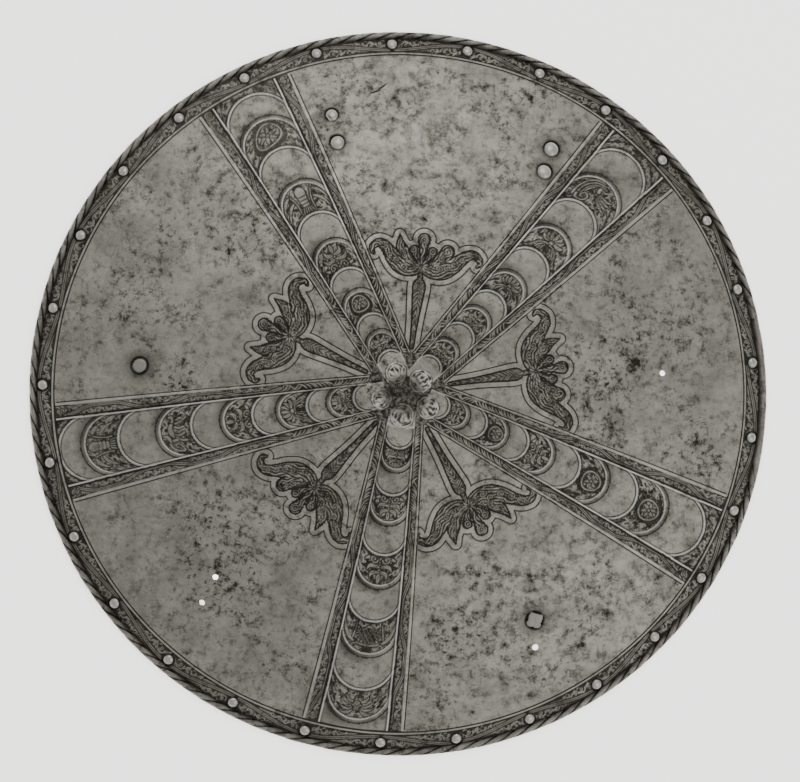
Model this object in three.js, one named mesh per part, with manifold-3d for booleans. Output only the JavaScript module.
import * as THREE from 'three'
import { mergeVertices } from 'three/addons/utils/BufferGeometryUtils.js'
import Module from 'manifold-3d'

// A round steel target shield, lying on its rim with the domed face up.
// Millimetres, +Z up, origin on the ground under the middle of the rim.
// Seen from above the domed face, +X is to the right, +Y is towards the edge that is worn uppermost,
// and angles run anticlockwise from +X.

// Plate
const WIDTH = 566 // across the roped edge, left to right
const HEIGHT = 554 // across the roped edge, top to bottom: the ring isn't quite round
const DISH = 57 // rise of the dome inside the roped edge
const PLATE = 1.6 // thickness of the steel
const TIP_RISE = 3.6 // blunt low point in the middle
const TIP_RADIUS = 27

// Roped edge, turned over and filed into strands
const ROPE_RADIUS = 3.2
const ROPE_GROOVE = 0.75 // depth between two strands
const ROPE_STRANDS = 120
const ROPE_LAY = 0.4 // how far a strand leans in a quarter turn round the roll, as a share of its pitch
const ROPE_FOOT = 140 // degrees round the roll at which the face of the plate leaves it
const REST_LAND = 2.4 // width of the flat that the edge rests on

// Sunk border and its lining rivets
const BORDER_WIDTH = 11.4
const BORDER_SINK = 0.9
const BORDER_FILLET = 1 // width of the slope down into the border
const LINING_RIVETS = 29
const LINING_INSET = 10.2 // from the edge to a rivet's middle
const LINING_START = 5.2 // degrees, first rivet
const LINING_DRIFT = [0.96, 0.33] // degrees that the hand spacing drifts, once and twice round
const LINING = { head: 3.9, rise: 2.5, shank: 1.5, tail: 2.6, tailRise: 0.9, chamfer: 0 }

// Five bands of scales, from the middle to the border
const BAND_ANGLES = [45.7, 117.2, 190.4, 262.1, 334.1]
const BAND_HALF = 14.7 // half width over both strips, carried to the middle
const BAND_SPREAD = 0.096 // how fast that half width grows outwards
const FIELD_HALF = 8 // half width of the field of scales, carried to the middle
const FIELD_SPREAD = 0.066
const FIELD_SINK = 0.7 // depth of the field's foot below its strips
const FIELD_WALL = 0.8 // width of the slope down into the field
const SCALE_CROWN = 0.5 // rise of a scale from its sides to its middle
const SCALE_STEP = 0.8 // drop at a scale's edge
const SCALE_EDGE = 1.2 // width of that drop
const SCALE_BULGE = 0.68 // how far a scale's edge bulges outwards, as a share of its half width

// Where the scales' edges cross each band's middle line, as shares of the shield's radius
const SCALES = [
  [0.124, 0.189, 0.247, 0.311, 0.369, 0.446, 0.532, 0.62, 0.717, 0.815, 0.91],
  [0.124, 0.185, 0.236, 0.311, 0.376, 0.465, 0.549, 0.648, 0.751, 0.847, 0.918],
  [0.146, 0.217, 0.273, 0.354, 0.42, 0.504, 0.584, 0.676, 0.779, 0.876, 0.937],
  [0.163, 0.227, 0.292, 0.373, 0.457, 0.548, 0.64, 0.736, 0.828, 0.917],
  [0.13, 0.189, 0.242, 0.306, 0.367, 0.446, 0.524, 0.612, 0.7, 0.794, 0.91],
]

// Rosette where the bands meet
const ROSETTE_RADIUS = 16
const ROSETTE_DIP = 1 // depth of the notches between its five lobes
const ROSETTE_CUP = 7 // radius of the small cup round the point

// Larger rivets, and holes whose rivets are lost: degrees, then share of the shield's radius
const STRAP = { head: 5.7, rise: 3.4, shank: 2, tail: 4.6, tailRise: 1.4, chamfer: 0.7 }
const STRAP_RIVETS = [
  [103.9, 0.785, 0.82],
  [104.4, 0.706, 0.94],
  [58.9, 0.783, 1],
  [57.7, 0.718, 0.97],
]
const PLUG = { angle: 174.3, share: 0.712, hole: 6, radius: 5.1, proud: 0.4, flange: 7.6,
  flangeRise: 1.3, chamfer: 0.7 }
const RAGGED = { angle: 299.7, share: 0.721, radius: 6.3, lobe: 0.95, lobes: 4, rise: 1.1, shank: 2.6,
  tail: 5.2, tailRise: 1.3, chamfer: 0.7 }
const LOST_HOLES = [
  [4.4, 0.705, 2.1],
  [225.3, 0.716, 2.15],
  [227.1, 0.79, 2.15],
  [297.3, 0.788, 2.4],
]

// Fits
const SEAT_GAP = 0.3 // between a rivet and the plate

// Fineness of the facets
const FIELD_FACETS = 4 // across the field of scales
const PANEL_COLUMNS = 6
const PANEL_ROWS = 6
const CAP_FACETS = 20
const LAND_FACETS = 40
const INSIDE_RINGS = [[0.83, 40], [0.7, 40], [0.55, 20], [0.4, 20], [0.24, 20], [0.09, 10]]
const RIVET_SIDES = 8
const BIG_RIVET_SIDES = 10
const BORE_SIDES = 4
const HOLE_SIDES = 10
const HEAD_SHOULDER = 0.72 // where a domed head's one bend is, as a share of its radius and rise
const LOBE_POINTS = 6 // round the outline of the ragged head, for each lobe

const TURN = 2 * Math.PI
const radians = THREE.MathUtils.degToRad

// The plan is a circle of the mean radius, stretched a little to the two widths
const RADIUS = (WIDTH + HEIGHT) / 4
const STRETCH = [WIDTH / 2 / RADIUS, HEIGHT / 2 / RADIUS]

// Section of the rim: the roll's centre, and where the face leaves it
const ROLL_R = RADIUS - ROPE_RADIUS
const ROLL_Z = Math.sqrt(ROPE_RADIUS ** 2 - (REST_LAND / 2) ** 2)
const FOOT_R = ROLL_R + ROPE_RADIUS * Math.cos(radians(ROPE_FOOT))
const FOOT_Z = ROLL_Z + ROPE_RADIUS * Math.sin(radians(ROPE_FOOT))
const BORDER_R = FOOT_R - BORDER_WIDTH
const SPHERE = (FOOT_R ** 2 + DISH ** 2) / (2 * DISH)

function dome(r) {
  const tip = TIP_RISE * Math.max(0, 1 - r / TIP_RADIUS) ** 2
  return FOOT_Z + BORDER_SINK + DISH - SPHERE + Math.sqrt(SPHERE ** 2 - r ** 2) + tip
}

// Height of the inside, a plate's thickness below the face measured square to its slope
function inside(r) {
  const slope = dome(r + 0.5) - dome(Math.abs(r - 0.5))
  return dome(r) - PLATE * Math.hypot(1, slope)
}

// Facets of one closed body: points, and triangles that name them
const points = []
const facets = []

function point(r, angle, z) {
  points.push(r * Math.cos(angle) * STRETCH[0], r * Math.sin(angle) * STRETCH[1], z)
  return points.length / 3 - 1
}

function facet(a, b, c) {
  if (a !== b && b !== c && c !== a) facets.push(a, b, c)
}

// Fills the strip between two lines of points, each point { id, at } with at rising along the line.
// The strip's triangles face the side from which line a lies to the right of line b.
function zip(a, b) {
  let i = 0
  let j = 0
  while (i < a.length - 1 || j < b.length - 1) {
    const stepA = j === b.length - 1 || (i < a.length - 1 && a[i + 1].at <= b[j + 1].at)
    if (stepA) {
      facet(a[i].id, a[i + 1].id, b[j].id)
      i += 1
    } else {
      facet(a[i].id, b[j + 1].id, b[j].id)
      j += 1
    }
  }
}

// The same between two closed rings: outer and inner, seen from the side they face
function zipRings(outer, inner) {
  const start = outer[0].at
  const closed = (ring) => {
    const turned = ring.map((p) => ({ id: p.id, at: THREE.MathUtils.euclideanModulo(p.at - start, TURN) }))
    turned.sort((p, q) => p.at - q.at)
    return [...turned, { id: turned[0].id, at: turned[0].at + TURN }]
  }
  zip(closed(outer), closed(inner))
}

// A ring of count points at one radius and height, shifted round by an angle
function ring(count, shift, radiusOf, heightOf) {
  return Array.from({ length: count }, (_, k) => {
    const at = (k / count) * TURN + shift
    return { id: point(radiusOf(k), at, heightOf(k)), at }
  })
}

// Angle from a band's middle line to the edge whose half width is base + spread * distance along the band
function edgeAngle(r, base, spread) {
  return Math.atan(spread) + Math.asin(base / (r * Math.hypot(1, spread)))
}

// The point between two neighbouring bands where their edges meet
function meeting(band) {
  const here = radians(BAND_ANGLES[band])
  const next = radians(BAND_ANGLES[(band + 1) % BAND_ANGLES.length])
  const half = THREE.MathUtils.euclideanModulo(next - here, TURN) / 2
  const r = BAND_HALF / (Math.sin(half) - BAND_SPREAD * Math.cos(half))
  return { r, half, id: point(r, here + half, dome(r)) }
}

const meetings = BAND_ANGLES.map((_, band) => meeting(band))

// A point on the face of a band: across it, along it, and raised or sunk
function bandPoint(middle, across, along, rise) {
  const r = Math.hypot(across, along)
  return point(r, middle + Math.atan2(across, along), dome(r) + rise)
}

// How far along a band the ring at radius r is, on an edge of that half width
function alongAt(r, base, spread) {
  return r * Math.cos(edgeAngle(r, base, spread))
}

// One row of points across a band. bulge(t) gives the distance along it at t, from -1 to 1 across the field.
function bandRow(middle, bulge, stripAlong, rise, ends) {
  const row = []
  const edge = (side, base, spread) => {
    const along = stripAlong(base, spread)
    row.push({ id: bandPoint(middle, side * (base + spread * along), along, 0), along })
  }
  const outer = (side) => {
    const end = ends && ends[side < 0 ? 0 : 1]
    if (end) row.push({ id: end.id, along: end.r * Math.cos(end.half) })
    else edge(side, BAND_HALF, BAND_SPREAD)
  }
  outer(-1)
  edge(-1, FIELD_HALF, FIELD_SPREAD)
  for (let k = 0; k <= FIELD_FACETS; k += 1) {
    const t = (2 * k) / FIELD_FACETS - 1
    const along = bulge(t)
    const across = t * (FIELD_HALF + FIELD_SPREAD * along - FIELD_WALL)
    const crown = SCALE_CROWN * (1 - t * t)
    row.push({ id: bandPoint(middle, across, along, rise + crown - FIELD_SINK), along })
  }
  edge(1, FIELD_HALF, FIELD_SPREAD)
  outer(1)
  return row
}

// A band is rows of points: one at the meeting points, two at each scale's edge and one at the border
function band(number) {
  const middle = radians(BAND_ANGLES[number])
  const before = meetings[(number + meetings.length - 1) % meetings.length]
  const after = meetings[number]
  const innerAlong = (before.r * Math.cos(before.half) + after.r * Math.cos(after.half)) / 2
  const circle = (1 + SCALE_BULGE ** 2) / (2 * SCALE_BULGE)
  const flush = FIELD_SINK - SCALE_CROWN
  const rows = [bandRow(middle, () => innerAlong, () => innerAlong, flush, [before, after])]
  for (const share of SCALES[number]) {
    const top = share * RADIUS
    const half = FIELD_HALF + FIELD_SPREAD * top
    const drop = (t) => half * (circle - Math.sqrt(circle ** 2 - t ** 2))
    for (const [shift, rise] of [[0, SCALE_STEP], [SCALE_EDGE, 0]]) {
      const bulge = (t) => Math.min(top + shift - drop(t), alongAt(BORDER_R, t * half, 0) - SCALE_EDGE)
      rows.push(bandRow(middle, bulge, () => bulge(1), rise))
    }
  }
  const onRing = (base, spread) => alongAt(BORDER_R, base, spread)
  const fieldEnd = FIELD_HALF + FIELD_SPREAD * BORDER_R
  rows.push(bandRow(middle, (t) => Math.sqrt(BORDER_R ** 2 - (t * fieldEnd) ** 2), onRing, flush))
  for (let k = 1; k < rows.length; k += 1) {
    for (let c = 1; c < rows[k].length; c += 1) {
      facet(rows[k - 1][c - 1].id, rows[k][c - 1].id, rows[k - 1][c].id)
      facet(rows[k][c - 1].id, rows[k][c].id, rows[k - 1][c].id)
    }
  }
  const column = (c) => rows.map((row) => ({ id: row[c].id, at: row[c].along }))
  return { inner: rows[0], outer: rows[rows.length - 1], right: column(0), left: column(rows[0].length - 1) }
}

// A plain panel fills the space from one band's left edge to the next band's right edge
function panel(number, bands) {
  const here = radians(BAND_ANGLES[number])
  const span = 2 * meetings[number].half
  const start = meetings[number].r
  let previous = bands[number].left
  const rim = []
  for (let c = 1; c < PANEL_COLUMNS; c += 1) {
    const column = [{ id: meetings[number].id, at: previous[0].at }]
    for (let k = 1; k <= PANEL_ROWS; k += 1) {
      const r = start + ((BORDER_R - start) * k) / PANEL_ROWS
      const edge = edgeAngle(r, BAND_HALF, BAND_SPREAD)
      const angle = here + edge + ((span - 2 * edge) * c) / PANEL_COLUMNS
      column.push({ id: point(r, angle, dome(r)), at: r, angle })
    }
    rim.push(column[PANEL_ROWS])
    zip(previous, column)
    previous = column
  }
  zip(previous, bands[(number + 1) % bands.length].right)
  return rim.map(({ id, angle }) => ({ id, at: angle }))
}

// A point again, with its angle round the shield
function round({ id }) {
  return { id, at: Math.atan2(points[3 * id + 1] / STRETCH[1], points[3 * id] / STRETCH[0]) }
}

// The edge of the face where it drops into the border, in order round the shield
function faceRing(bands, panels) {
  return bands.flatMap((b, number) => [...b.outer.map(round), ...panels[number]])
}

// The blunt point: five lobes that the bands run into, a small cup and the tip
function rosette(bands) {
  const onFace = bands.flatMap((b) => b.inner.slice(0, -1)).map(round)
  const lobes = (angle) => {
    const nearest = Math.min(...BAND_ANGLES.map((a) => Math.abs(Math.atan2(
      Math.sin(angle - radians(a)), Math.cos(angle - radians(a))))))
    return ROSETTE_DIP * Math.min(1, nearest / (Math.PI / BAND_ANGLES.length)) ** 2
  }
  const shift = radians(BAND_ANGLES[0])
  const angleOf = (k) => shift + (k / CAP_FACETS) * TURN
  const wide = ring(CAP_FACETS, shift, () => ROSETTE_RADIUS, (k) => dome(ROSETTE_RADIUS) - lobes(angleOf(k)))
  const small = ring(CAP_FACETS, shift, () => ROSETTE_CUP, () => dome(ROSETTE_CUP))
  const tip = point(0, 0, dome(0))
  zipRings(onFace, wide)
  zipRings(wide, small)
  small.forEach((p, k) => facet(p.id, small[(k + 1) % CAP_FACETS].id, tip))
}

// The roped roll from the foot of the border round to the flat underneath, and the inside up to the middle
function rimAndInside(face) {
  const sunk = face.map(({ at }) => {
    const r = BORDER_R + BORDER_FILLET
    return { id: point(r, at, dome(r) - BORDER_SINK), at }
  })
  const foot = face.map(({ at }) => ({ id: point(FOOT_R, at, FOOT_Z), at }))
  zipRings(sunk, face)
  zipRings(foot, sunk)
  const strands = (turned) => {
    const section = radians(turned)
    const lean = (ROPE_LAY * (turned / 90) * TURN) / ROPE_STRANDS
    const radius = (k) => ROPE_RADIUS - (k % 2) * ROPE_GROOVE
    return ring(2 * ROPE_STRANDS, lean, (k) => ROLL_R + radius(k) * Math.cos(section),
      (k) => ROLL_Z + radius(k) * Math.sin(section))
  }
  const sections = [90, 45, 0].map(strands)
  const landOuter = ring(LAND_FACETS, 0, () => ROLL_R + REST_LAND / 2, () => 0)
  const landInner = ring(LAND_FACETS, 0, () => ROLL_R - REST_LAND / 2, () => 0)
  const cheek = ring(LAND_FACETS, 0, () => ROLL_R - ROPE_RADIUS, () => ROLL_Z)
  const rings = [foot, ...sections, landOuter, landInner, cheek]
  const insideRing = (r, count, sink) => ring(count, 0, () => r, () => inside(r) - sink)
  rings.push(insideRing(ROLL_R - ROPE_RADIUS - PLATE, LAND_FACETS, BORDER_SINK))
  rings.push(insideRing(BORDER_R + BORDER_FILLET, LAND_FACETS, BORDER_SINK))
  rings.push(insideRing(BORDER_R - BORDER_FILLET, LAND_FACETS, 0))
  for (const [share, count] of INSIDE_RINGS) rings.push(insideRing(share * RADIUS, count, 0))
  for (let k = 1; k < rings.length; k += 1) zipRings(rings[k], rings[k - 1])
  const last = rings[rings.length - 1]
  const middle = point(0, 0, inside(0))
  last.forEach((p, k) => facet(last[(k + 1) % last.length].id, p.id, middle))
}

const bands = BAND_ANGLES.map((_, number) => band(number))
const panels = BAND_ANGLES.map((_, number) => panel(number, bands))
rosette(bands)
rimAndInside(faceRing(bands, panels))

const wasm = await Module()
wasm.setup()

function toSolid(geometry) {
  const bare = geometry.clone()
  bare.deleteAttribute('normal')
  bare.deleteAttribute('uv')
  const merged = mergeVertices(bare, 1e-4)
  const mesh = new wasm.Mesh({
    numProp: 3,
    vertProperties: new Float32Array(merged.attributes.position.array),
    triVerts: new Uint32Array(merged.index.array),
  })
  return new wasm.Manifold(mesh)
}

function toGeometry(solid) {
  const mesh = solid.getMesh()
  const geometry = new THREE.BufferGeometry()
  geometry.setAttribute('position', new THREE.BufferAttribute(new Float32Array(mesh.vertProperties), 3))
  geometry.setIndex(new THREE.BufferAttribute(new Uint32Array(mesh.triVerts), 1))
  geometry.computeVertexNormals()
  return geometry
}

function blankPlate() {
  const geometry = new THREE.BufferGeometry()
  geometry.setAttribute('position', new THREE.Float32BufferAttribute(points, 3))
  geometry.setIndex(facets)
  return geometry
}

const blank = blankPlate()
const blankMesh = new THREE.Mesh(blank, new THREE.MeshBasicMaterial({ side: THREE.DoubleSide }))

// Where a rivet sits: on the face at that angle and share of the radius, square to the facet there,
// with the thickness of steel that it goes through
function seat(degrees, share) {
  const angle = radians(degrees)
  const r = share * RADIUS
  const above = new THREE.Vector3(r * Math.cos(angle) * STRETCH[0], r * Math.sin(angle) * STRETCH[1], WIDTH)
  const hit = new THREE.Raycaster(above, new THREE.Vector3(0, 0, -1)).intersectObject(blankMesh)[0]
  const normal = hit.face.normal.clone()
  const start = hit.point.clone().addScaledVector(normal, PLATE)
  const through = new THREE.Raycaster(start, normal.clone().negate())
  const [, back] = through.intersectObject(blankMesh)
  return { at: hit.point, normal, thick: back.distance - PLATE }
}

function placeOn(thing, where) {
  thing.position.copy(where.at)
  thing.quaternion.setFromUnitVectors(new THREE.Vector3(0, 0, 1), where.normal)
  return thing
}

// A profile of [radius, height] pairs turned about +Z
function turned(profile, sides) {
  const lathe = new THREE.LatheGeometry(profile.map(([r, z]) => new THREE.Vector2(r, z)), sides)
  lathe.rotateX(Math.PI / 2)
  return lathe
}

// A drill along the seat's axis, wide enough for the flats of its sides to clear the radius
function drill(where, radius, sides) {
  const long = 8 * PLATE
  const corner = radius / Math.cos(Math.PI / sides)
  const rod = new THREE.CylinderGeometry(corner, corner, long, sides)
  rod.rotateX(Math.PI / 2)
  const mesh = placeOn(new THREE.Mesh(rod), where)
  mesh.updateMatrix()
  return toSolid(rod.applyMatrix4(mesh.matrix))
}

// Domed head, shank and hammered tail
function rivet(form, size, thick, sides) {
  const head = form.head * size
  const rise = form.rise * size
  const under = -(thick + SEAT_GAP)
  return turned([
    [0, under - form.tailRise],
    [form.tail - form.chamfer, under - form.tailRise],
    ...(form.chamfer ? [[form.tail, under]] : []),
    [form.shank, under],
    [form.shank, SEAT_GAP],
    [head, SEAT_GAP],
    [head * HEAD_SHOULDER, rise * HEAD_SHOULDER],
    [0, rise],
  ], sides)
}

const steel = { color: 0x8b8a84, metalness: 1, roughness: 0.42 }
const brightSteel = { color: 0xb4b2ab, metalness: 1, roughness: 0.34 }
const blackenedSteel = { color: 0x6f6d68, metalness: 1, roughness: 0.5 }

const group = new THREE.Group()
let plate = toSolid(blank)

function addPiece(name, geometry, finish, where) {
  const mesh = new THREE.Mesh(geometry, new THREE.MeshStandardMaterial(finish))
  mesh.name = name
  if (where) placeOn(mesh, where)
  group.add(mesh)
}

function bore(where, radius, sides) {
  plate = plate.subtract(drill(where, radius, sides))
}

// Rivets round the border, stepped off by hand: the even pitch drifts a little
for (let k = 0; k < LINING_RIVETS; k += 1) {
  const even = (k / LINING_RIVETS) * TURN
  const drift = LINING_DRIFT[1] * Math.sin(2 * even) - LINING_DRIFT[0] * Math.sin(even)
  const where = seat(LINING_START + THREE.MathUtils.radToDeg(even) + drift, 1 - LINING_INSET / RADIUS)
  bore(where, LINING.shank + SEAT_GAP, BORE_SIDES)
  const name = `lining_rivet_${String(k + 1).padStart(2, '0')}`
  addPiece(name, rivet(LINING, 1, where.thick, RIVET_SIDES), brightSteel, where)
}

STRAP_RIVETS.forEach(([degrees, share, size], k) => {
  const where = seat(degrees, share)
  bore(where, STRAP.shank + SEAT_GAP, RIVET_SIDES)
  addPiece(`strap_rivet_${k + 1}`, rivet(STRAP, size, where.thick, BIG_RIVET_SIDES), brightSteel, where)
})

// A flat plug nearly flush with the face, held by its wider flange inside
const plugSeat = seat(PLUG.angle, PLUG.share)
bore(plugSeat, PLUG.hole, HOLE_SIDES)
const plugUnder = -(plugSeat.thick + SEAT_GAP)
addPiece('plug_rivet', turned([
  [0, plugUnder - PLUG.flangeRise],
  [PLUG.flange - PLUG.chamfer, plugUnder - PLUG.flangeRise],
  [PLUG.flange, plugUnder],
  [PLUG.radius, plugUnder],
  [PLUG.radius, 0],
  [PLUG.radius - PLUG.proud, PLUG.proud],
  [0, PLUG.proud],
], BIG_RIVET_SIDES), blackenedSteel, plugSeat)

// A flat head whose edge has broken away into lobes, on a shank with a hammered tail
const raggedSeat = seat(RAGGED.angle, RAGGED.share)
bore(raggedSeat, RAGGED.shank + SEAT_GAP, RIVET_SIDES)
const outline = new THREE.Shape()
for (let k = 0; k < LOBE_POINTS * RAGGED.lobes; k += 1) {
  const angle = (k / (LOBE_POINTS * RAGGED.lobes)) * TURN
  const r = RAGGED.radius + RAGGED.lobe * Math.cos(RAGGED.lobes * angle)
  if (k === 0) outline.moveTo(r, 0)
  else outline.lineTo(r * Math.cos(angle), r * Math.sin(angle))
}
outline.closePath()
const raggedHead = new THREE.ExtrudeGeometry(outline, { depth: RAGGED.rise, bevelEnabled: false })
raggedHead.translate(0, 0, SEAT_GAP)
const raggedUnder = -(raggedSeat.thick + SEAT_GAP)
const raggedShank = turned([
  [0, raggedUnder - RAGGED.tailRise],
  [RAGGED.tail - RAGGED.chamfer, raggedUnder - RAGGED.tailRise],
  [RAGGED.tail, raggedUnder],
  [RAGGED.shank, raggedUnder],
  [RAGGED.shank, SEAT_GAP + RAGGED.rise / 2],
  [0, SEAT_GAP + RAGGED.rise / 2],
], RIVET_SIDES)
const raggedBody = toSolid(raggedHead).add(toSolid(raggedShank))
addPiece('ragged_rivet', toGeometry(raggedBody), blackenedSteel, raggedSeat)

for (const [degrees, share, radius] of LOST_HOLES) bore(seat(degrees, share), radius, HOLE_SIDES)

addPiece('shield_plate', toGeometry(plate), steel)

export default group
